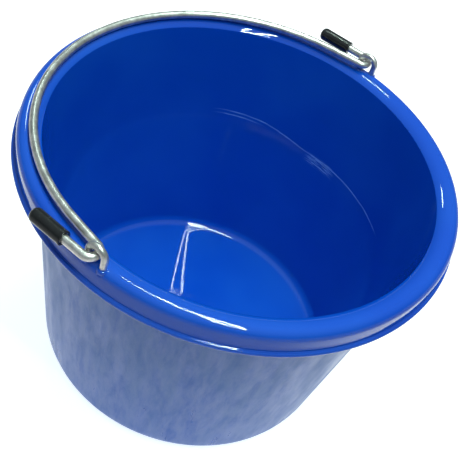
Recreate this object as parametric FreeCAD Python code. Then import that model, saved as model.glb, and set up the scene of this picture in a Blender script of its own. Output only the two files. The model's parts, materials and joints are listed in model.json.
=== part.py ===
"""Feed bucket: a moulded plastic bucket with a rolled rim, two wire eyes and a wire bail.

Millimetres. Origin at the centre of the base on the floor, +Z up. The eyes stand beside the X axis,
and the bail is folded down towards +Y, resting on the rim.
"""
import FreeCAD, Part
import math
import os

Vector = FreeCAD.Vector
Z_AXIS = Vector(0, 0, 1)

# ---- bucket body -------------------------------------------------------------------------
HEIGHT = 202.5                # floor to the rim's crest
BASE_R = 112.0                # outer wall carried down to the floor
WALL_TOP_R = 135.6            # outer wall carried up to the channel under the rim
MOUTH_R = 131.9               # inner wall at the mouth's edge
MOUTH_EDGE_DROP = 4.2         # mouth's edge below the crest
WALL = 2.9                    # wall thickness at the bottom
FLOOR_TOP = 5.4
BASE_CORNER_R = 16.0          # outside bend between wall and base
FLOOR_FILLET_R = 8.0          # inside bend between wall and floor
MOUTH_EDGE_R = 0.9
FOOT_INNER_R = 88.0           # the base stands on a flat ring outside this radius
FOOT_DEPTH = 2.2
GATE_R = 4.0                  # moulding gate's pip in the middle of the base
GATE_HEIGHT = 0.5
SMALL_BLEND = 0.5

# ---- rolled rim --------------------------------------------------------------------------
CREST_R = 141.7
SHOULDER_R = 5.8              # bend from the crest down to the skirt
SKIRT_BOTTOM_DROP = 18.0      # skirt's lower edge below the crest
SKIRT_WALL = 2.8
BEAD_R = 1.6                  # half-round bead round the skirt's lower edge
BEAD_STAND_OUT = 0.7          # bead's centre outside the skirt's face
RIM_WALL = 3.0                # rim's thickness at the crest
CHANNEL_ROOT_R = 3.0          # bends inside the channel under the rim

# ---- eyes and the bosses that hold them ---------------------------------------------------
HINGE_Y = -2.5                # both eyes stand this little off the bucket's diameter
EYE_WIRE_R = 2.25
EYE_X = 144.0
EYE_HALF_WIDTH = 6.0          # leg's centre from the eye's middle
EYE_TOP_ABOVE_CREST = 14.0
EYE_LEG_DEPTH = 11.0          # leg's end below the crest
LEG_END_ROOM = 0.5
BOSS_HALF_WIDTH = 12.0
BOSS_DEPTH = 15.0             # boss's lower face below the crest
BOSS_TOP_DROP = 3.5
BOSS_INNER_R = 132.5
BOSS_OUTER_R = 146.0

# ---- bail --------------------------------------------------------------------------------
WIRE_R = 2.8
HINGE_ABOVE_CREST = 5.2
BAIL_R = 136.6                # big bend's centreline
BAIL_CENTRE = 3.9             # big bend's centre beyond the hinge axis
LEG_FLARE_DEG = 10.0          # legs run outwards to the hooks at this angle
HOOK_R = 5.5                  # hook's centreline
REST_DROP_DEG = 1.08          # folded bail slopes down to the rim
TAIL_REACH = 43.0             # tail's end beyond the hinge axis
TAIL_INWARD_DEG = {"left": 1.0, "right": 4.0}

# ---- end caps ----------------------------------------------------------------------------
CAP_R = 4.8
CAP_MOUTH = 19.6              # cap's mouth beyond the hinge axis
CAP_END_WALL = 1.8
CAP_MOUTH_BLEND = 0.4
CAP_NOSE_BLEND = 3.2

MOUTH_Z = HEIGHT - MOUTH_EDGE_DROP
HINGE_Z = HEIGHT + HINGE_ABOVE_CREST
SIDES = {"left": -1, "right": 1}


def unit(vector):
    return vector * (1.0 / vector.Length)


def corner_arc(before, corner, after, radius):
    """Start, middle and end of the arc that rounds a corner."""
    to_before = unit(before - corner)
    to_after = unit(after - corner)
    half = to_before.getAngle(to_after) / 2
    along = radius / math.tan(half)
    centre = corner + unit(to_before + to_after) * (radius / math.sin(half))
    middle = centre + unit(corner - centre) * radius
    return corner + to_before * along, middle, corner + to_after * along


def rounded_edges(points):
    """Edges through (radius, height, blend) points, each corner rounded by its blend."""
    places = [Vector(r, 0, z) for r, z, _ in points]
    edges = []
    here = places[0]
    for i in range(1, len(points) - 1):
        blend = points[i][2]
        if blend == 0:
            edges.append(Part.makeLine(here, places[i]))
            here = places[i]
            continue
        start, middle, end = corner_arc(places[i - 1], places[i], places[i + 1], blend)
        edges.append(Part.makeLine(here, start))
        edges.append(Part.Arc(start, middle, end).toShape())
        here = end
    edges.append(Part.makeLine(here, places[-1]))
    return edges


def revolved(edges):
    wire = Part.Wire(Part.__sortEdges__(edges))
    return Part.Face(wire).revolve(Vector(0, 0, 0), Z_AXIS, 360)


def arc_about(centre_r, centre_z, radius, start_deg, end_deg):
    """Arc in the X-Z plane, angles from +X towards +Z."""
    def place(angle_deg):
        angle = math.radians(angle_deg)
        return Vector(centre_r + radius * math.cos(angle), 0, centre_z + radius * math.sin(angle))
    return Part.Arc(place(start_deg), place((start_deg + end_deg) / 2), place(end_deg)).toShape()


def end_point(edge):
    return edge.valueAt(edge.LastParameter)


def start_point(edge):
    return edge.valueAt(edge.FirstParameter)


def shell_section():
    """Half section of the moulding, from the base's centre round to the floor's centre."""
    shoulder_z = HEIGHT - SHOULDER_R
    skirt_r = CREST_R + SHOULDER_R
    skirt_bottom = HEIGHT - SKIRT_BOTTOM_DROP
    channel_top = HEIGHT - RIM_WALL
    bead_z = skirt_bottom + BEAD_R
    bead_r = skirt_r + BEAD_STAND_OUT

    # The crown falls from the crest to the mouth's edge in one arc, level at the crest.
    crown_run = CREST_R - MOUTH_R
    crown_r = (crown_run ** 2 + MOUTH_EDGE_DROP ** 2) / (2 * MOUTH_EDGE_DROP)
    crown_deg = 90 + math.degrees(math.asin(crown_run / crown_r))
    crown_trim_deg = math.degrees(MOUTH_EDGE_R / crown_r)

    outside = rounded_edges([
        (0, FOOT_DEPTH - GATE_HEIGHT, 0),
        (GATE_R, FOOT_DEPTH - GATE_HEIGHT, 0),
        (GATE_R + GATE_HEIGHT, FOOT_DEPTH, 0),
        (FOOT_INNER_R - FOOT_DEPTH, FOOT_DEPTH, SMALL_BLEND),
        (FOOT_INNER_R, 0, SMALL_BLEND),
        (BASE_R, 0, BASE_CORNER_R),
        (WALL_TOP_R, channel_top, CHANNEL_ROOT_R),
        (skirt_r - SKIRT_WALL, channel_top, CHANNEL_ROOT_R),
        (skirt_r - SKIRT_WALL, skirt_bottom, 0),
        (bead_r, skirt_bottom, 0),
    ])
    bead = arc_about(bead_r, bead_z, BEAD_R, -90, 90)
    shoulder = arc_about(CREST_R, shoulder_z, SHOULDER_R, 0, 90)
    crown = arc_about(CREST_R, HEIGHT - crown_r, crown_r, 90, crown_deg - crown_trim_deg)
    skirt = [
        Part.makeLine(end_point(bead), Vector(skirt_r, 0, bead_z + BEAD_R)),
        Part.makeLine(Vector(skirt_r, 0, bead_z + BEAD_R), start_point(shoulder)),
    ]

    inner_bottom_r = BASE_R - WALL
    edge_end = Vector(MOUTH_R, 0, MOUTH_Z - MOUTH_EDGE_R)
    edge_middle = (end_point(crown) + edge_end) * 0.5 + Vector(-0.2, 0, 0.1)
    mouth_edge = Part.Arc(end_point(crown), edge_middle, edge_end).toShape()
    inside = rounded_edges([
        (edge_end.x, edge_end.z, 0),
        (inner_bottom_r, FLOOR_TOP, FLOOR_FILLET_R),
        (0, FLOOR_TOP, 0),
    ])
    axis = Part.makeLine(Vector(0, 0, FLOOR_TOP), Vector(0, 0, FOOT_DEPTH - GATE_HEIGHT))
    return outside + [bead] + skirt + [shoulder, crown, mouth_edge] + inside + [axis]


def eye_boss(side):
    """Block that fills the channel under the rim where an eye's legs go in."""
    half_deg = math.degrees(BOSS_HALF_WIDTH / EYE_X)
    off_deg = math.degrees(math.asin(HINGE_Y / EYE_X))
    low = HEIGHT - BOSS_DEPTH
    high = HEIGHT - BOSS_TOP_DROP
    corners = [
        Vector(BOSS_INNER_R, 0, low),
        Vector(BOSS_OUTER_R, 0, low),
        Vector(BOSS_OUTER_R, 0, high),
        Vector(BOSS_INNER_R, 0, high),
        Vector(BOSS_INNER_R, 0, low),
    ]
    boss = Part.Face(Part.makePolygon(corners)).revolve(Vector(0, 0, 0), Z_AXIS, 2 * half_deg)
    boss.rotate(Vector(0, 0, 0), Z_AXIS, (off_deg if side > 0 else 180 - off_deg) - half_deg)
    return boss


def leg_hole(side, across):
    bottom = HEIGHT - EYE_LEG_DEPTH - LEG_END_ROOM
    place = Vector(side * EYE_X, HINGE_Y + across * EYE_HALF_WIDTH, bottom)
    return Part.makeCylinder(EYE_WIRE_R, EYE_LEG_DEPTH + EYE_TOP_ABOVE_CREST, place)


def make_bucket_shell():
    shell = revolved(shell_section())
    for side in SIDES.values():
        shell = shell.fuse(eye_boss(side))
    for side in SIDES.values():
        for across in (-1, 1):
            shell = shell.cut(leg_hole(side, across))
    return shell.removeSplitter().Solids[0]


def swept_wire(edges, radius):
    """Round wire along a path of lines and tangent arcs."""
    path = Part.Wire(edges)
    first = path.Edges[0]
    start = first.valueAt(first.FirstParameter)
    along = first.tangentAt(first.FirstParameter)
    circle = Part.Wire(Part.makeCircle(radius, start, along))
    return path.makePipeShell([circle], True, False)


def make_eye(side):
    """Staple: two legs joined by a half-round top, standing across the hook's path."""
    x = side * EYE_X
    bottom = HEIGHT - EYE_LEG_DEPTH
    top = HEIGHT + EYE_TOP_ABOVE_CREST - EYE_WIRE_R
    spring = top - EYE_HALF_WIDTH
    near = Vector(x, HINGE_Y - EYE_HALF_WIDTH, spring)
    far = Vector(x, HINGE_Y + EYE_HALF_WIDTH, spring)
    edges = [
        Part.makeLine(Vector(x, near.y, bottom), near),
        Part.Arc(near, Vector(x, HINGE_Y, top), far).toShape(),
        Part.makeLine(far, Vector(x, far.y, bottom)),
    ]
    return swept_wire(edges, EYE_WIRE_R)


def side_layout(side, tail_inward_deg):
    """Points of one leg, hook and tail in the bail's own plane, from the tail's end inwards."""
    flare = math.radians(LEG_FLARE_DEG)
    inward = math.radians(tail_inward_deg)
    leg_top = Vector(BAIL_R * math.cos(flare), BAIL_CENTRE + BAIL_R * math.sin(flare), 0)
    leg_along = Vector(math.sin(flare), -math.cos(flare), 0)
    outward = Vector(math.cos(flare), math.sin(flare), 0)
    # The hook's centre is one bend radius above the hinge axis, so its tip turns on the axis.
    leg_length = (leg_top.y + HOOK_R * outward.y - HOOK_R) / math.cos(flare)
    leg_bottom = leg_top + leg_along * leg_length
    hook_centre = leg_bottom + outward * HOOK_R
    tail_start = hook_centre + Vector(math.cos(inward), math.sin(inward), 0) * HOOK_R
    tail_along = Vector(-math.sin(inward), math.cos(inward), 0)
    points = {
        "leg_top": leg_top,
        "leg_bottom": leg_bottom,
        "hook_tip": hook_centre + Vector(0, -HOOK_R, 0),
        "tail_start": tail_start,
        "tail_end": tail_start + tail_along * ((TAIL_REACH - tail_start.y) / tail_along.y),
        "cap_mouth": tail_start + tail_along * ((CAP_MOUTH - tail_start.y) / tail_along.y),
        "tail_along": tail_along,
    }
    return {name: Vector(side * p.x, p.y, p.z) for name, p in points.items()}


def fold(shape):
    """Lift a shape from the bail's own plane to the hinge axis, folded down on the rim."""
    hinge = Vector(0, HINGE_Y, HINGE_Z)
    shape.translate(hinge)
    shape.rotate(hinge, Vector(1, 0, 0), -REST_DROP_DEG)
    return shape


def make_bail_handle():
    left = side_layout(-1, TAIL_INWARD_DEG["left"])
    right = side_layout(1, TAIL_INWARD_DEG["right"])
    crown = Vector(0, BAIL_CENTRE + BAIL_R, 0)
    edges = [
        Part.makeLine(left["tail_end"], left["tail_start"]),
        Part.Arc(left["tail_start"], left["hook_tip"], left["leg_bottom"]).toShape(),
        Part.makeLine(left["leg_bottom"], left["leg_top"]),
        Part.Arc(left["leg_top"], crown, right["leg_top"]).toShape(),
        Part.makeLine(right["leg_top"], right["leg_bottom"]),
        Part.Arc(right["leg_bottom"], right["hook_tip"], right["tail_start"]).toShape(),
        Part.makeLine(right["tail_start"], right["tail_end"]),
    ]
    handle = swept_wire(edges, WIRE_R)
    return fold(handle)


def make_end_cap(side_name):
    """Sleeve with a round nose, pushed over the wire's tail."""
    layout = side_layout(SIDES[side_name], TAIL_INWARD_DEG[side_name])
    mouth = layout["cap_mouth"]
    wire_inside = (layout["tail_end"] - mouth).Length
    length = wire_inside + CAP_END_WALL
    bore_end = wire_inside + LEG_END_ROOM
    section = rounded_edges([
        (WIRE_R, 0, 0),
        (CAP_R, 0, CAP_MOUTH_BLEND),
        (CAP_R, length, CAP_NOSE_BLEND),
        (0, length, 0),
        (0, bore_end, 0),
        (WIRE_R, bore_end, 0),
        (WIRE_R, 0, 0),
    ])
    cap = revolved(section)
    turn = FreeCAD.Rotation(Z_AXIS, layout["tail_along"])
    cap.Placement = FreeCAD.Placement(mouth, turn)
    return fold(cap)


def main():
    os.makedirs("parts", exist_ok=True)
    nodes = {
        "bucket_shell": make_bucket_shell(),
        "bail_handle": make_bail_handle(),
    }
    for name, side in SIDES.items():
        nodes[name + "_eye"] = make_eye(side)
        nodes[name + "_end_cap"] = make_end_cap(name)
    for name, shape in nodes.items():
        box = shape.optimalBoundingBox()
        print(name, shape.ShapeType, len(shape.Solids), "valid", shape.isValid(),
              "volume", round(shape.Volume), "x", round(box.XMin, 1), round(box.XMax, 1),
              "y", round(box.YMin, 1), round(box.YMax, 1), "z", round(box.ZMin, 1), round(box.ZMax, 1))
        shape.exportStep("parts/" + name + ".step")


main()
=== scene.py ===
"""Looks of the feed bucket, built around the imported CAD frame. Metres, same frame as the CAD."""
import json
import math

import bmesh
import bpy
from mathutils import Matrix, Vector, noise


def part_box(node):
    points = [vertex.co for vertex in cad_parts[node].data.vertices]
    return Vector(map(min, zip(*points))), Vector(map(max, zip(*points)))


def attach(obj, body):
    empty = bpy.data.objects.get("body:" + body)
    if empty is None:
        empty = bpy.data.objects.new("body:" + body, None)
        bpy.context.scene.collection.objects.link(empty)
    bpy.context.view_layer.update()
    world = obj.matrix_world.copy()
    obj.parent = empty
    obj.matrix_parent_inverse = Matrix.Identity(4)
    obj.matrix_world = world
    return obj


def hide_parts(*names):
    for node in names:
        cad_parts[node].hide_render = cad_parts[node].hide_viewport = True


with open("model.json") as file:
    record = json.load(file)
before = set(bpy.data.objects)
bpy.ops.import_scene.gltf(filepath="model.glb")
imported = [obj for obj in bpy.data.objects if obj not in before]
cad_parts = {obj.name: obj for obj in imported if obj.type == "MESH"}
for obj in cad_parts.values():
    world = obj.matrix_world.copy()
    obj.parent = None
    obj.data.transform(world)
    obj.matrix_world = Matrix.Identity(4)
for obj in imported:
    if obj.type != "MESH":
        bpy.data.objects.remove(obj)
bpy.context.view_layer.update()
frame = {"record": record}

SHELL_LOW, SHELL_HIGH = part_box("bucket_shell")
EYE_LOW, EYE_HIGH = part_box("right_eye")
SIDES = {"left": -1, "right": 1}

# ---- bucket shell ------------------------------------------------------------------------
HEIGHT = SHELL_HIGH.z
BASE_R = 0.1120
WALL_TOP_R = 0.1356
MOUTH_R = 0.1319
MOUTH_Z = HEIGHT - 0.0042
WALL = 0.0029
FLOOR_TOP = 0.0054
BASE_CORNER_R = 0.0160
FLOOR_FILLET_R = 0.0080
MOUTH_EDGE_R = 0.0009
FOOT_INNER_R = 0.0880
FOOT_DEPTH = 0.0022
GATE_R = 0.0040
GATE_HEIGHT = 0.0005
GATE_BLEND = 0.0002
CREST_R = 0.1417
SHOULDER_R = 0.0058
SKIRT_BOTTOM = HEIGHT - 0.0180
SKIRT_WALL = 0.0028
SKIRT_BLEND = 0.0004
BEAD_R = 0.0016
BEAD_STAND_OUT = 0.0007
BEAD_ROOT = 0.0003
RIM_WALL = 0.0030
CHANNEL_ROOT_R = 0.0030
SMALL_BLEND = 0.0006
FLOOR_WAVE = 0.000006
FLOOR_WAVE_LENGTH = 0.030
# The waves fade out between these distances from the edge of the flat floor.
FLOOR_FADE = (-0.006, 0.004)

# ---- wires and caps ----------------------------------------------------------------------
EYE_WIRE_R = (EYE_HIGH.x - EYE_LOW.x) / 2
EYE_X = (EYE_HIGH.x + EYE_LOW.x) / 2
WIRE_R = 0.0028
HINGE = Vector(frame["record"]["behaviour"]["joints"][0]["pos_m"])
EYE_HALF_WIDTH = EYE_HIGH.y - HINGE.y - EYE_WIRE_R
BAIL_R = 0.1366
BAIL_CENTRE = 0.0039
LEG_FLARE = math.radians(10.0)
HOOK_R = 0.0055
REST_DROP = math.radians(1.08)
TAIL_REACH = 0.0430
TAIL_INWARD = {"left": math.radians(1.0), "right": math.radians(4.0)}
CAP_R = 0.0048
CAP_MOUTH = 0.0196
CAP_END_WALL = 0.0018
CAP_NOSE_R = 0.0032
# Profile of a cap's mouth: out from the wire or from CAP_R, and along from the mouth.
CAP_BORE = ((-0.0002, 0.0040), (-0.0002, 0.0006), (0.0001, 0.0002), (0.0005, 0.0))
CAP_MOUTH_EDGE = ((-0.0003, 0.0), (-0.0001, 0.0001), (0.0, 0.0004), (0.0, 0.0010))
CAP_NECK = ((-0.00012, 0.0018), (-0.00010, 0.0040))
# Profile of the lip round an eye's leg: out from the wire's surface, and down from the lip's top.
LIP_RISE = 0.0004
LIP_PROFILE = (
    (-0.0003, 0.0040),
    (-0.0003, 0.0006),
    (0.0001, 0.0002),
    (0.0004, 0.0001),
    (0.0008, 0.0003),
    (0.0012, 0.0009),
    (0.0014, 0.0018),
    (0.0014, 0.0040),
    (-0.0003, 0.0040),
)

# ---- fineness of the meshes --------------------------------------------------------------
SHELL_SIDES = 288
BAIL_SIDES = 32
EYE_SIDES = 28
CAP_SIDES = 48
LIP_SIDES = 40
BOW_STEPS = 160
HOOK_STEPS = 28
EYE_STEPS = 32
SHELL_SPACING = 0.0055
CAP_SPACING = 0.0015
BAIL_SPACING = 0.003
EYE_SPACING = 0.001
TINY = 1e-7

# ---- camera ------------------------------------------------------------------------------
LOOK_AT = Vector((0.0031, -0.0071, 0.1296))
CAMERA_DISTANCE = 0.6261
CAMERA_HEADING = math.radians(23.9)
CAMERA_DOWN = math.radians(45.91)
CAMERA_ROLL = math.radians(20.21)
CAMERA_LENS = 67.98
CAMERA_SENSOR = 36.0

# ---- light -------------------------------------------------------------------------------
LAMP_HEIGHT = 1.8
LAMPS_AIM_AT = Vector((0, 0, 0.1))
TUBE_WIDTH = 0.018
END_TUBE_WIDTH = 0.012
SIDE_STRIP_WIDTH = 0.15
TUBE_COLOUR = (0.74, 1.0, 0.86)
TUBE_RADIANCE = 165.0
END_TUBE_RADIANCE = TUBE_RADIANCE / 2
SIDE_RADIANCE = 25.0
BEHIND_LEFT_END = (-0.407, -0.549)
BEHIND_RIGHT_END = (-0.510, -0.436)
# Each lamp: its name, width, radiance, and the floor positions that its two ends are above.
LAMPS = (
    ("over_left", TUBE_WIDTH, TUBE_RADIANCE, (-0.393, -0.514), (0.645, 0.591)),
    ("over_right", TUBE_WIDTH, TUBE_RADIANCE, (-0.283, -0.616), (0.755, 0.489)),
    ("behind_left", TUBE_WIDTH, TUBE_RADIANCE, BEHIND_LEFT_END, (-0.480, -0.840)),
    ("behind_right", TUBE_WIDTH, TUBE_RADIANCE, BEHIND_RIGHT_END, (-0.508, -0.840)),
    ("behind_end", END_TUBE_WIDTH, END_TUBE_RADIANCE, BEHIND_LEFT_END, BEHIND_RIGHT_END),
    ("side_strip", SIDE_STRIP_WIDTH, SIDE_RADIANCE, (1.00, 1.45), (1.25, 1.90)),
)
# World strengths. Each changes between two values of the direction's upward part.
WORLD_COLOUR = (0.80, 0.94, 1.0, 1.0)
WORLD_HORIZON = 0.07
WORLD_ZENITH = 0.54
WORLD_RISE = (0.05, 0.95)
WORLD_HAZE = 0.60
WORLD_HAZE_FADE = (0.02, 0.16)
# The floor's glowing pool is painted light: it fills in the bucket's shadow on the floor and stays dim
# beyond its edge.
POOL_CENTRE = (0.28, 0.09, 0.0)
POOL_INNER = 0.468
POOL_OUTER = 0.57
POOL_GLOW = 0.82
FLOOR_GLOW = 0.07
FLOOR_RADIUS = 4.0

# ---- colours -----------------------------------------------------------------------------
BLUE_DEEP = (0.0012, 0.062, 0.50, 1.0)
BLUE_WORN = (0.0040, 0.078, 0.53, 1.0)
BLUE_DULL = (0.0040, 0.074, 0.40, 1.0)
HAZE_PALE = (0.17, 0.27, 0.40, 1.0)
SCUFF_PALE = (0.20, 0.42, 0.85, 1.0)
ZINC_DARK = (0.53, 0.51, 0.49, 1.0)
ZINC_BRIGHT = (0.83, 0.79, 0.76, 1.0)
ZINC_SPANGLE = (0.36, 0.37, 0.36, 1.0)
VINYL_BLACK = (0.006, 0.006, 0.007, 1.0)
VINYL_DUSTY = (0.015, 0.015, 0.016, 1.0)
FLOOR_DARK = (0.60, 0.49, 0.53, 1.0)
FLOOR_PALE = (0.64, 0.52, 0.56, 1.0)
FLOOR_LIGHT = (0.90, 1.0, 1.0, 1.0)

# ---- wear of the blue plastic ------------------------------------------------------------
# The first five stretch a noise by (across, across, up): across works on the unit direction from
# the bucket's axis, and up on the height in metres.
RUB_STREAKS = (19.0, 19.0, 36.0)
RUB_FINE = (170.0, 170.0, 30.0)
RUB_CLOUD = (7.0, 7.0, 14.0)
MOTTLE = (16.0, 16.0, 38.0)
SCUFF_STROKES = (8.0, 8.0, 1300.0)
STREAK_SHARE = 0.13
FINE_SHARE = 0.03
CLOUD_SHARE = 0.16
RUB_EVERYWHERE = 0.07
SCUFF_LOW = 0.1205
SCUFF_HIGH = 0.1280
SCUFF_WANDER = 0.003
SECOND_LINE_DROP = 0.0032
PATCH_DROP = 0.0035
SCUFF_STRENGTH = 0.75
GLOSS_ROUGHNESS = 0.010
GLOSS_UNEVENNESS = 0.014
HAZE_ROUGHNESS = 0.20
SPECULAR_LEVEL = 0.5


# ------------------------------------------------------------------------------------------
# Outlines
# ------------------------------------------------------------------------------------------
def arc(centre_r, centre_z, radius, start_deg, end_deg, steps):
    """Points of an arc in the (radius, height) half plane, both ends included."""
    points = []
    for i in range(steps + 1):
        angle = math.radians(start_deg + (end_deg - start_deg) * i / steps)
        points.append((centre_r + radius * math.cos(angle), centre_z + radius * math.sin(angle)))
    return points


def blend_corner(before, corner, after, radius, steps):
    """Points of the arc that rounds a corner between two straight runs."""
    corner = Vector(corner)
    to_before = (Vector(before) - corner).normalized()
    to_after = (Vector(after) - corner).normalized()
    half = to_before.angle(to_after) / 2
    centre = corner + (to_before + to_after).normalized() * (radius / math.sin(half))
    start = corner + to_before * (radius / math.tan(half)) - centre
    end = corner + to_after * (radius / math.tan(half)) - centre
    sweep = start.angle_signed(end)
    points = []
    for i in range(steps + 1):
        turned = Matrix.Rotation(-sweep * i / steps, 2) @ start
        points.append(tuple(centre + turned))
    return points


def rounded(corners, steps=10):
    """Outline through (radius, height, blend) corners; the first and last stay as they are."""
    points = [corners[0][:2]]
    for before, corner, after in zip(corners, corners[1:], corners[2:]):
        if corner[2]:
            points += blend_corner(before[:2], corner[:2], after[:2], corner[2], steps)
        else:
            points.append(corner[:2])
    points.append(corners[-1][:2])
    return points


def subdivided(points, spacing):
    """The same outline with extra points wherever two neighbours are further apart than spacing."""
    result = [points[0]]
    for a, b in zip(points, points[1:]):
        length = math.dist(a, b)
        if length < TINY:
            continue
        pieces = max(1, math.ceil(length / spacing))
        for i in range(1, pieces + 1):
            t = i / pieces
            result.append((a[0] + (b[0] - a[0]) * t, a[1] + (b[1] - a[1]) * t))
    return result


def shell_outline():
    """Half section of the moulding, from the underside's centre round to the floor's centre.

    It comes as two runs: the underside, outer wall and skirt's inside, which get hazed, and the
    bead, rim, inner wall and floor, which stay clear.
    """
    channel_top = HEIGHT - RIM_WALL
    skirt_r = CREST_R + SHOULDER_R
    bead_z = SKIRT_BOTTOM + BEAD_R
    bead_r = skirt_r + BEAD_STAND_OUT
    crown_run = CREST_R - MOUTH_R
    crown_drop = HEIGHT - MOUTH_Z
    crown_r = (crown_run ** 2 + crown_drop ** 2) / (2 * crown_drop)
    crown_end = 90 + math.degrees(math.asin(crown_run / crown_r))
    crown_trim = math.degrees(MOUTH_EDGE_R / crown_r)

    outside = rounded([
        (0, FOOT_DEPTH - GATE_HEIGHT, 0),
        (GATE_R, FOOT_DEPTH - GATE_HEIGHT, GATE_BLEND),
        (GATE_R + GATE_HEIGHT, FOOT_DEPTH, GATE_BLEND),
        (FOOT_INNER_R - FOOT_DEPTH, FOOT_DEPTH, SMALL_BLEND),
        (FOOT_INNER_R, 0, SMALL_BLEND),
        (BASE_R, 0, BASE_CORNER_R),
        (WALL_TOP_R, channel_top, CHANNEL_ROOT_R),
        (skirt_r - SKIRT_WALL, channel_top, CHANNEL_ROOT_R),
        (skirt_r - SKIRT_WALL, SKIRT_BOTTOM, SKIRT_BLEND),
        (bead_r, SKIRT_BOTTOM, 0),
    ])
    bead = arc(bead_r, bead_z, BEAD_R, -90, 84, 14)
    root = [
        (skirt_r + 0.0001, bead_z + BEAD_R - 0.00005),
        (skirt_r, bead_z + BEAD_R + BEAD_ROOT),
    ]
    shoulder = arc(CREST_R, HEIGHT - SHOULDER_R, SHOULDER_R, 0, 90, 18)
    crown = arc(CREST_R, HEIGHT - crown_r, crown_r, 90, crown_end - crown_trim, 16)
    inside = rounded([
        crown[-1] + (0,),
        (MOUTH_R, MOUTH_Z, MOUTH_EDGE_R),
        (BASE_R - WALL, FLOOR_TOP, FLOOR_FILLET_R),
        (0, FLOOR_TOP, 0),
    ], steps=16)
    hazed = subdivided(outside, SHELL_SPACING)
    clear = subdivided([outside[-1]] + bead + root + shoulder + crown + inside[1:], SHELL_SPACING)
    return hazed, clear[1:]


# ------------------------------------------------------------------------------------------
# Meshes
# ------------------------------------------------------------------------------------------
def mesh_object(name, build):
    """New object whose smooth-shaded mesh is made by build(bm)."""
    bm = bmesh.new()
    build(bm)
    bmesh.ops.recalc_face_normals(bm, faces=bm.faces)
    mesh = bpy.data.meshes.new(name)
    bm.to_mesh(mesh)
    bm.free()
    mesh.shade_smooth()
    piece = bpy.data.objects.new(name, mesh)
    bpy.context.collection.objects.link(piece)
    return piece


def lathe(bm, outline, sides):
    """Surface of revolution about Z; outline points on the axis become poles."""
    rings = []
    for r, z in outline:
        if r < TINY:
            rings.append([bm.verts.new((0, 0, z))])
            continue
        ring = []
        for i in range(sides):
            angle = 2 * math.pi * i / sides
            ring.append(bm.verts.new((r * math.cos(angle), r * math.sin(angle), z)))
        rings.append(ring)
    for a, b in zip(rings, rings[1:]):
        for i in range(sides):
            j = (i + 1) % sides
            if len(a) == 1:
                bm.faces.new((a[0], b[i], b[j]))
            elif len(b) == 1:
                bm.faces.new((a[i], b[0], a[j]))
            else:
                bm.faces.new((a[i], b[i], b[j], a[j]))


def sweep_tube(bm, path, radius, sides):
    """Round tube along a path of points, closed by a fan at each end."""
    tangent = (path[1] - path[0]).normalized()
    across = tangent.orthogonal().normalized()
    rings = []
    for i, point in enumerate(path):
        before = path[max(i - 1, 0)]
        after = path[min(i + 1, len(path) - 1)]
        turned = (after - before).normalized()
        across = (tangent.rotation_difference(turned) @ across).normalized()
        tangent = turned
        other = tangent.cross(across)
        ring = []
        for k in range(sides):
            angle = 2 * math.pi * k / sides
            offset = across * math.cos(angle) + other * math.sin(angle)
            ring.append(bm.verts.new(point + offset * radius))
        rings.append(ring)
    for a, b in zip(rings, rings[1:]):
        for k in range(sides):
            n = (k + 1) % sides
            bm.faces.new((a[k], a[n], b[n], b[k]))
    for ring, point in ((rings[0], path[0]), (rings[-1], path[-1])):
        tip = bm.verts.new(point)
        for k in range(sides):
            bm.faces.new((ring[k], ring[(k + 1) % sides], tip))


def line_points(start, end, spacing):
    """Points from start towards end, the end left out."""
    count = max(1, math.ceil((end - start).length / spacing))
    return [start.lerp(end, i / count) for i in range(count)]


def turn_points(centre, start, sweep, steps):
    """Points from start round centre in the X-Y plane, the end left out."""
    arm = start - centre
    return [centre + Matrix.Rotation(sweep * i / steps, 3, "Z") @ arm for i in range(steps)]


def folded(point):
    """Lift a point of the bail's own plane to the hinge axis, folded down on the rim."""
    return HINGE + Matrix.Rotation(-REST_DROP, 3, "X") @ point


def side_layout(side_name):
    """Points of one leg, hook and tail in the bail's own plane."""
    side = SIDES[side_name]
    inward = TAIL_INWARD[side_name]
    leg_top = Vector((BAIL_R * math.cos(LEG_FLARE), BAIL_CENTRE + BAIL_R * math.sin(LEG_FLARE), 0))
    leg_along = Vector((math.sin(LEG_FLARE), -math.cos(LEG_FLARE), 0))
    outward = Vector((math.cos(LEG_FLARE), math.sin(LEG_FLARE), 0))
    leg_length = (leg_top.y + HOOK_R * outward.y - HOOK_R) / math.cos(LEG_FLARE)
    leg_bottom = leg_top + leg_along * leg_length
    hook_centre = leg_bottom + outward * HOOK_R
    tail_start = hook_centre + Vector((math.cos(inward), math.sin(inward), 0)) * HOOK_R
    tail_along = Vector((-math.sin(inward), math.cos(inward), 0))
    layout = {
        "leg_top": leg_top,
        "leg_bottom": leg_bottom,
        "hook_centre": hook_centre,
        "tail_start": tail_start,
        "tail_end": tail_start + tail_along * ((TAIL_REACH - tail_start.y) / tail_along.y),
        "cap_mouth": tail_start + tail_along * ((CAP_MOUTH - tail_start.y) / tail_along.y),
        "tail_along": tail_along,
    }
    return {key: Vector((side * p.x, p.y, p.z)) for key, p in layout.items()}


def side_path(side_name):
    """Centre line from one tail's end round its hook and up its leg, the leg's top left out."""
    layout = side_layout(side_name)
    turn = SIDES[side_name] * -(math.pi - LEG_FLARE + TAIL_INWARD[side_name])
    points = line_points(layout["tail_end"], layout["tail_start"], BAIL_SPACING)
    points += turn_points(layout["hook_centre"], layout["tail_start"], turn, HOOK_STEPS)
    points += line_points(layout["leg_bottom"], layout["leg_top"], BAIL_SPACING)
    return points


def bail_path():
    """Centre line of the bail from the left tail's end to the right tail's end."""
    start = side_layout("left")["leg_top"]
    centre = Vector((0, BAIL_CENTRE, 0))
    sweep = -(math.pi - 2 * LEG_FLARE)
    points = side_path("left") + turn_points(centre, start, sweep, BOW_STEPS)
    points += [side_layout("right")["leg_top"]] + side_path("right")[::-1]
    return [folded(point) for point in points]


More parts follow.
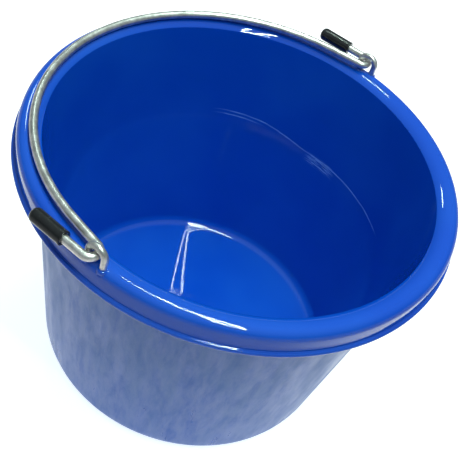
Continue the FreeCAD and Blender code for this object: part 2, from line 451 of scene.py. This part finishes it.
def eye_path(side):
    """Centre line of one eye: up one leg, over the half-round top and down the other leg."""
    foot = Vector((side * EYE_X, HINGE.y - EYE_HALF_WIDTH, EYE_LOW.z))
    spring = Vector((foot.x, foot.y, EYE_HIGH.z - EYE_WIRE_R - EYE_HALF_WIDTH))
    centre = spring + Vector((0, EYE_HALF_WIDTH, 0))
    rising = line_points(foot, spring, EYE_SPACING)
    falling = [Vector((p.x, 2 * HINGE.y - p.y, p.z)) for p in rising[::-1]]
    top = []
    for i in range(EYE_STEPS + 1):
        turn = Matrix.Rotation(-math.pi * i / EYE_STEPS, 3, "X")
        top.append(centre + turn @ (spring - centre))
    return rising + top + falling


def crown_height(r):
    """Height of the rim's upper surface at a radius, taken as flat inward of the crest."""
    if r > CREST_R:
        return HEIGHT - SHOULDER_R + math.sqrt(max(SHOULDER_R ** 2 - (r - CREST_R) ** 2, 0))
    return HEIGHT


# ------------------------------------------------------------------------------------------
# Pieces
# ------------------------------------------------------------------------------------------
def smoothstep(low, high, value):
    """0 below low, 1 above high, and an even S-curve between them."""
    t = min(max((value - low) / (high - low), 0), 1)
    return t * t * (3 - 2 * t)


def uneven_floor(bm):
    """Slow sink waves of a moulded floor, fading out towards its fillet."""
    flat_r = BASE_R - WALL - FLOOR_FILLET_R
    fade_start = flat_r + FLOOR_FADE[0]
    fade_end = flat_r + FLOOR_FADE[1]
    for vert in bm.verts:
        r = math.hypot(vert.co.x, vert.co.y)
        if r < fade_end and abs(vert.co.z - FLOOR_TOP) < 0.001:
            fade = 1 - smoothstep(fade_start, fade_end, r)
            spot = Vector((vert.co.x, vert.co.y, 0)) / FLOOR_WAVE_LENGTH
            vert.co.z += FLOOR_WAVE * noise.noise(spot) * fade


def make_shell():
    """The whole moulding, with a point attribute that is 1 where the plastic is hazed."""
    hazed, clear = shell_outline()

    def build(bm):
        lathe(bm, hazed + clear, SHELL_SIDES)
        uneven_floor(bm)

    shell = mesh_object("bucket_shell_skin", build)
    haze = shell.data.attributes.new("haze", "FLOAT", "POINT")
    # The outline starts on the axis, so its first point is one vertex and not a ring.
    hazed_count = 1 + (len(hazed) - 1) * SHELL_SIDES
    for i in range(len(shell.data.vertices)):
        haze.data[i].value = 1.0 if i < hazed_count else 0.0
    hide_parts("bucket_shell")
    return shell


def make_eye(side_name):
    """One wire loop, its two legs going down into the rim."""
    path = eye_path(SIDES[side_name])
    eye = mesh_object(side_name + "_eye_wire", lambda bm: sweep_tube(bm, path, EYE_WIRE_R, EYE_SIDES))
    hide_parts(side_name + "_eye")
    return eye


def make_leg_lip(side_name, across, label):
    """Raised ring of plastic round an eye's leg where it goes into the rim."""
    x = SIDES[side_name] * EYE_X
    y = HINGE.y + across * EYE_HALF_WIDTH
    top = crown_height(math.hypot(x, y)) + LIP_RISE
    outline = [(EYE_WIRE_R + out, top - down) for out, down in LIP_PROFILE]

    def build(bm):
        lathe(bm, outline, LIP_SIDES)
        bmesh.ops.remove_doubles(bm, verts=bm.verts, dist=1e-6)
        bmesh.ops.translate(bm, verts=bm.verts, vec=(x, y, 0))

    return mesh_object(side_name + "_leg_lip_" + label, build)


def make_bail():
    """The bail: one bent wire from tail to tail."""
    path = bail_path()
    bail = mesh_object("bail_wire_form", lambda bm: sweep_tube(bm, path, WIRE_R, BAIL_SIDES))
    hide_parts("bail_handle")
    return bail


def make_cap(side_name):
    """Dip-moulded sleeve: a slightly rolled mouth, a straight body and a round nose."""
    layout = side_layout(side_name)
    length = (layout["tail_end"] - layout["cap_mouth"]).length + CAP_END_WALL
    outline = [(WIRE_R + out, along) for out, along in CAP_BORE]
    outline += [(CAP_R + out, along) for out, along in CAP_MOUTH_EDGE + CAP_NECK]
    outline += arc(CAP_R - CAP_NOSE_R, length - CAP_NOSE_R, CAP_NOSE_R, 0, 90, 12)
    outline.append((0, length))

    def build(bm):
        lathe(bm, subdivided(outline, CAP_SPACING), CAP_SIDES)
        turn = Vector((0, 0, 1)).rotation_difference(layout["tail_along"]).to_matrix()
        for vert in bm.verts:
            vert.co = folded(turn @ vert.co + layout["cap_mouth"])
        open_edge = [edge for edge in bm.edges if edge.is_boundary]
        bmesh.ops.contextual_create(bm, geom=open_edge)

    cap = mesh_object(side_name + "_cap_sleeve", build)
    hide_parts(side_name + "_end_cap")
    return cap


# ------------------------------------------------------------------------------------------
# Materials
# ------------------------------------------------------------------------------------------
class Nodes:
    """Small helper that builds one material's node tree."""

    # Numbers of a Mix node's colour sockets, whose names it uses more than once.
    MIX_FACTOR = 0
    MIX_A = 6
    MIX_B = 7
    MIX_RESULT = 2

    def __init__(self, name):
        self.material = bpy.data.materials.new(name)
        self.material.use_nodes = True
        self.tree = self.material.node_tree
        self.tree.nodes.clear()
        self.shader = self.node("ShaderNodeBsdfPrincipled")
        output = self.node("ShaderNodeOutputMaterial")
        self.link(self.shader.outputs["BSDF"], output.inputs["Surface"])

    def node(self, kind, **settings):
        node = self.tree.nodes.new(kind)
        for key, value in settings.items():
            setattr(node, key, value)
        return node

    def link(self, source, target):
        self.tree.links.new(source, target)

    def put(self, target, value):
        """Give an input a fixed value, or link another node's output to it."""
        if isinstance(value, (int, float, tuple)):
            target.default_value = value
        else:
            self.link(value, target)

    def set(self, name, value):
        """Put a value in one of the shader's inputs."""
        self.put(self.shader.inputs[name], value)

    def math(self, operation, a, b=0.0, clamp=False):
        node = self.node("ShaderNodeMath", operation=operation, use_clamp=clamp)
        self.put(node.inputs[0], a)
        self.put(node.inputs[1], b)
        return node.outputs[0]

    def chain(self, operation, values):
        """The same operation over all the values, from the first to the last."""
        result = values[0]
        for value in values[1:]:
            result = self.math(operation, result, value)
        return result

    def add(self, *values):
        return self.chain("ADD", values)

    def times(self, *values):
        return self.chain("MULTIPLY", values)

    def near(self, offset, reach, fade, strength=1.0):
        """strength where the offset is within reach of 0, and nothing beyond fade."""
        return self.ramp(self.math("ABSOLUTE", offset), reach, fade, strength, 0.0)

    def noise(self, vector, scale, detail=3.0, roughness=0.5, distortion=0.0):
        node = self.node("ShaderNodeTexNoise")
        self.link(vector, node.inputs["Vector"])
        self.put(node.inputs["Scale"], scale)
        self.put(node.inputs["Detail"], detail)
        self.put(node.inputs["Roughness"], roughness)
        self.put(node.inputs["Distortion"], distortion)
        return node.outputs["Fac"]

    def stretched(self, vector, factors, **settings):
        """Noise at scale 1 on the vector multiplied by factors."""
        node = self.node("ShaderNodeVectorMath", operation="MULTIPLY")
        self.link(vector, node.inputs[0])
        node.inputs[1].default_value = factors
        return self.noise(node.outputs[0], 1.0, **settings)

    def ramp(self, value, low, high, out_low=0.0, out_high=1.0):
        """An S-curve from out_low at low to out_high at high, level beyond both."""
        node = self.node("ShaderNodeMapRange", interpolation_type="SMOOTHSTEP")
        self.put(node.inputs["Value"], value)
        self.put(node.inputs["From Min"], low)
        self.put(node.inputs["From Max"], high)
        self.put(node.inputs["To Min"], out_low)
        self.put(node.inputs["To Max"], out_high)
        return node.outputs["Result"]

    def mix(self, factor, a, b):
        """Colour a where the factor is 0, and b where it is 1."""
        node = self.node("ShaderNodeMix", data_type="RGBA")
        self.put(node.inputs[self.MIX_FACTOR], factor)
        self.put(node.inputs[self.MIX_A], a)
        self.put(node.inputs[self.MIX_B], b)
        return node.outputs[self.MIX_RESULT]

    def place(self):
        """Position in the object's own space, in metres."""
        return self.node("ShaderNodeTexCoord").outputs["Object"]

    def bump(self, height, strength, distance, before=None):
        """Normal bent by a height, on top of the bump that comes before it."""
        node = self.node("ShaderNodeBump")
        self.put(node.inputs["Strength"], strength)
        self.put(node.inputs["Distance"], distance)
        self.put(node.inputs["Height"], height)
        if before is not None:
            self.link(before, node.inputs["Normal"])
        return node.outputs["Normal"]

    def cylinder(self, place):
        """Radius; height; unit direction plus height, as one seamless vector; unit direction."""
        split = self.node("ShaderNodeSeparateXYZ")
        self.link(place, split.inputs[0])
        flat = self.node("ShaderNodeCombineXYZ")
        self.link(split.outputs["X"], flat.inputs["X"])
        self.link(split.outputs["Y"], flat.inputs["Y"])
        length = self.node("ShaderNodeVectorMath", operation="LENGTH")
        self.link(flat.outputs[0], length.inputs[0])
        unit = self.node("ShaderNodeVectorMath", operation="NORMALIZE")
        self.link(flat.outputs[0], unit.inputs[0])
        lifted = self.node("ShaderNodeCombineXYZ")
        self.link(split.outputs["Z"], lifted.inputs["Z"])
        both = self.node("ShaderNodeVectorMath", operation="ADD")
        self.link(unit.outputs[0], both.inputs[0])
        self.link(lifted.outputs[0], both.inputs[1])
        return length.outputs["Value"], split.outputs["Z"], both.outputs[0], unit.outputs[0]


def rubbed_outside(n, around, height, fine):
    """How far fine rubbing has paled the outside: upright streaks in slow clouds, less at the foot."""
    streaks = n.stretched(around, RUB_STREAKS, detail=4.0, roughness=0.60, distortion=0.8)
    cloud = n.stretched(around, RUB_CLOUD, detail=3.0, roughness=0.5)
    rubbed = n.add(
        n.ramp(streaks, 0.36, 0.66, 0.0, STREAK_SHARE),
        n.ramp(fine, 0.40, 0.75, 0.0, FINE_SHARE),
        n.ramp(cloud, 0.40, 0.60, 0.0, CLOUD_SHARE),
        RUB_EVERYWHERE,
    )
    return n.times(rubbed, n.ramp(height, 0.0, 0.15, 0.60, 1.0))


def inner_scuff(n, around, height, unit):
    """Scuffs some three fifths up the wall's +X side: a thin line, a second below it and a patch."""
    towards = n.node("ShaderNodeSeparateXYZ")
    n.link(unit, towards.inputs[0])
    side_x = towards.outputs["X"]
    side_y = towards.outputs["Y"]
    wander = n.times(n.math("SUBTRACT", n.noise(unit, scale=3.0, detail=2.0), 0.5), SCUFF_WANDER)
    level = n.add(n.ramp(side_y, 0.05, 0.50, SCUFF_LOW, SCUFF_HIGH), wander)
    below = n.math("SUBTRACT", level, height)
    facing = n.ramp(side_x, 0.72, 0.84)
    strokes = n.stretched(around, SCUFF_STROKES, detail=3.0, roughness=0.65)
    strokes = n.ramp(strokes, 0.42, 0.62)

    line = n.times(n.near(below, 0.0002, 0.0009), facing)
    second = n.near(n.math("SUBTRACT", below, SECOND_LINE_DROP), 0.0002, 0.0010, strength=0.8)
    second = n.times(second, n.ramp(side_y, 0.35, 0.46), facing)
    patch = n.near(n.math("SUBTRACT", below, PATCH_DROP), 0.0020, 0.0060)
    patch = n.times(patch, n.near(n.add(side_y, 0.06), 0.05, 0.14))
    patch = n.times(patch, strokes, n.ramp(side_x, 0.0, 0.1))
    broken_up = n.add(n.times(strokes, 0.6), 0.4)
    lines = n.times(n.add(line, second), broken_up)
    return n.math("ADD", lines, patch, clamp=True)


def blue_plastic():
    """Glossy moulded blue: clear and deep inside and on the rim, hazed by fine rubbing outside."""
    n = Nodes("blue_moulded_plastic")
    place = n.place()
    radius, height, around, unit = n.cylinder(place)
    haze = n.node("ShaderNodeAttribute", attribute_name="haze").outputs["Fac"]
    fine = n.stretched(around, RUB_FINE, detail=4.0, roughness=0.6)
    rubbed = n.times(rubbed_outside(n, around, height, fine), haze)
    inside = n.times(n.math("LESS_THAN", haze, 0.5), n.math("LESS_THAN", radius, MOUTH_R))
    scuff = n.times(inner_scuff(n, around, height, unit), inside, SCUFF_STRENGTH)

    drift = n.noise(place, scale=14.0, detail=2.0)
    colour = n.mix(n.ramp(drift, 0.35, 0.7), BLUE_DEEP, BLUE_WORN)
    colour = n.mix(haze, colour, BLUE_DULL)
    colour = n.mix(rubbed, colour, HAZE_PALE)
    n.set("Base Color", n.mix(scuff, colour, SCUFF_PALE))

    smooth = n.times(n.noise(place, scale=60.0, detail=4.0), GLOSS_UNEVENNESS)
    smooth = n.add(GLOSS_ROUGHNESS, smooth)
    rough = n.add(smooth, n.times(haze, n.add(HAZE_ROUGHNESS, rubbed)))
    n.set("Roughness", n.math("ADD", rough, scuff, clamp=True))

    # The hazed side reflects unevenly, in soft mottles, under a thin dull coat.
    mottle = n.stretched(around, MOTTLE, detail=5.0, roughness=0.70, distortion=0.2)
    dulled = n.times(haze, n.ramp(mottle, 0.28, 0.72, 0.40, 0.0))
    n.set("IOR", 1.52)
    n.set("Specular IOR Level", n.math("SUBTRACT", SPECULAR_LEVEL, dulled))
    n.set("Sheen Weight", n.times(haze, n.add(0.01, n.times(rubbed, 0.3))))
    n.set("Sheen Roughness", 0.45)
    n.set("Coat Weight", n.times(haze, 0.10))
    n.set("Coat Roughness", 0.36)

    peel = n.bump(n.noise(place, scale=260.0, detail=2.0), strength=0.02, distance=0.0004)
    grain = n.bump(n.times(fine, haze), strength=0.05, distance=0.0006, before=peel)
    n.set("Normal", grain)
    return n.material


def galvanised_wire():
    """Bright zinc: slow cloudy patches, and darker fine spangles."""
    n = Nodes("galvanised_drawn_wire")
    place = n.place()
    patches = n.noise(place, scale=190.0, detail=4.0, roughness=0.6)
    spangle = n.noise(place, scale=900.0, detail=3.0, roughness=0.6)
    colour = n.mix(n.ramp(patches, 0.3, 0.75), ZINC_DARK, ZINC_BRIGHT)
    colour = n.mix(n.ramp(spangle, 0.55, 0.8, 0.0, 0.25), colour, ZINC_SPANGLE)
    n.set("Base Color", colour)
    n.set("Metallic", 0.92)
    n.set("Roughness", n.ramp(patches, 0.2, 0.8, 0.26, 0.40))
    clouded = n.bump(patches, strength=0.15, distance=0.0004)
    n.set("Normal", n.bump(spangle, strength=0.18, distance=0.0002, before=clouded))
    return n.material


def black_vinyl():
    """Soft dipped vinyl: near black, satin, with a slight skin texture."""
    n = Nodes("black_dipped_vinyl")
    place = n.place()
    skin = n.noise(place, scale=700.0, detail=3.0, roughness=0.6)
    dust = n.noise(place, scale=260.0, detail=4.0, roughness=0.65)
    n.set("Base Color", n.mix(n.ramp(dust, 0.5, 0.8), VINYL_BLACK, VINYL_DUSTY))
    n.set("Roughness", n.ramp(dust, 0.3, 0.8, 0.17, 0.30))
    n.set("Normal", n.bump(skin, strength=0.15, distance=0.0002))
    return n.material


def floor_material():
    """Plain pale floor that glows faintly, and strongly in a soft-edged pool round the bucket; the
    pool is painted light that washes out the bucket's cast shadow on the floor.
    """
    n = Nodes("studio_floor")
    place = n.place()
    away = n.node("ShaderNodeVectorMath", operation="DISTANCE")
    n.link(place, away.inputs[0])
    away.inputs[1].default_value = POOL_CENTRE
    tone = n.noise(place, scale=2.0, detail=2.0)
    n.set("Base Color", n.mix(tone, FLOOR_DARK, FLOOR_PALE))
    n.set("Roughness", 0.7)
    n.set("Emission Color", FLOOR_LIGHT)
    # Painted light: the glowing pool fills in the bucket's shadow; beyond its edge the floor stays
    # dim.
    pool = n.ramp(away.outputs["Value"], POOL_INNER, POOL_OUTER, POOL_GLOW, 0.0)
    n.set("Emission Strength", n.add(pool, FLOOR_GLOW))
    return n.material


# ------------------------------------------------------------------------------------------
# Stage, light and camera
# ------------------------------------------------------------------------------------------
def make_floor():
    """Round floor at the height of the bucket's foot."""
    def build(bm):
        bmesh.ops.create_circle(bm, cap_ends=True, segments=64, radius=FLOOR_RADIUS)
        bmesh.ops.translate(bm, verts=bm.verts, vec=(0, 0, SHELL_LOW.z))

    floor = mesh_object("studio_floor", build)
    floor.data.materials.append(floor_material())


def make_lamp(name, width, radiance, start, end):
    """Long rectangular lamp between the points above start and end, turned to the bucket."""
    a = Vector(start + (LAMP_HEIGHT,))
    b = Vector(end + (LAMP_HEIGHT,))
    length = (b - a).length
    lamp = bpy.data.lights.new(name, "AREA")
    lamp.shape = "RECTANGLE"
    lamp.color = TUBE_COLOUR
    lamp.size = length
    lamp.size_y = width
    lamp.energy = radiance * math.pi * length * width
    along = (b - a).normalized()
    middle = (a + b) / 2
    back = (middle - LAMPS_AIM_AT).normalized()
    back = (back - along * back.dot(along)).normalized()
    side = back.cross(along)
    holder = bpy.data.objects.new(name, lamp)
    rotation = Matrix((along, side, back)).transposed()
    holder.matrix_world = Matrix.Translation(middle) @ rotation.to_4x4()
    holder.visible_camera = False
    bpy.context.collection.objects.link(holder)


def make_world():
    """World light that grows from the horizon upwards, with a pale haze at the horizon and below."""
    world = bpy.data.worlds.new("studio")
    world.use_nodes = True
    tree = world.node_tree
    split = tree.nodes.new("ShaderNodeSeparateXYZ")
    tree.links.new(tree.nodes.new("ShaderNodeTexCoord").outputs["Generated"], split.inputs[0])
    total = tree.nodes.new("ShaderNodeMath")
    total.operation = "ADD"
    sky = WORLD_RISE + (WORLD_HORIZON, WORLD_ZENITH)
    haze = WORLD_HAZE_FADE + (WORLD_HAZE, 0.0)
    for target, numbers in zip(total.inputs, (sky, haze)):
        level = tree.nodes.new("ShaderNodeMapRange")
        tree.links.new(split.outputs["Z"], level.inputs["Value"])
        for key, number in zip(("From Min", "From Max", "To Min", "To Max"), numbers):
            level.inputs[key].default_value = number
        tree.links.new(level.outputs["Result"], target)
    background = tree.nodes["Background"]
    tree.links.new(total.outputs[0], background.inputs["Strength"])
    background.inputs["Color"].default_value = WORLD_COLOUR
    bpy.context.scene.world = world


def make_camera():
    """Camera of the photo, from its aim point, distance, heading, tilt and roll."""
    scene = bpy.context.scene
    lens = bpy.data.cameras.new("camera")
    lens.lens = CAMERA_LENS
    lens.sensor_width = CAMERA_SENSOR
    lens.clip_start = 0.01
    lens.clip_end = 50.0
    camera = bpy.data.objects.new("camera", lens)
    flat = Vector((math.cos(CAMERA_HEADING), math.sin(CAMERA_HEADING), 0))
    forward = flat * math.cos(CAMERA_DOWN) - Vector((0, 0, math.sin(CAMERA_DOWN)))
    level_right = forward.cross(Vector((0, 0, 1))).normalized()
    level_up = level_right.cross(forward)
    right = level_right * math.cos(CAMERA_ROLL) + level_up * math.sin(CAMERA_ROLL)
    up = right.cross(forward)
    rotation = Matrix((right, up, -forward)).transposed()
    place = LOOK_AT - forward * CAMERA_DISTANCE
    camera.matrix_world = Matrix.Translation(place) @ rotation.to_4x4()
    bpy.context.collection.objects.link(camera)
    scene.camera = camera
    scene.view_settings.view_transform = "Standard"


# ------------------------------------------------------------------------------------------
# Assembly
# ------------------------------------------------------------------------------------------
def finish_piece(piece, body, material):
    """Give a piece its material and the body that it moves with."""
    piece.data.materials.append(material)
    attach(piece, body)


def main():
    plastic = blue_plastic()
    zinc = galvanised_wire()
    vinyl = black_vinyl()
    finish_piece(make_shell(), "bucket", plastic)
    finish_piece(make_bail(), "bail", zinc)
    for side_name in SIDES:
        finish_piece(make_eye(side_name), "bucket", zinc)
        finish_piece(make_cap(side_name), "bail", vinyl)
        for across, label in ((-1, "near"), (1, "far")):
            lip = make_leg_lip(side_name, across, label)
            finish_piece(lip, "bucket", plastic)
    make_floor()
    for lamp in LAMPS:
        make_lamp(*lamp)
    make_world()
    make_camera()


main()
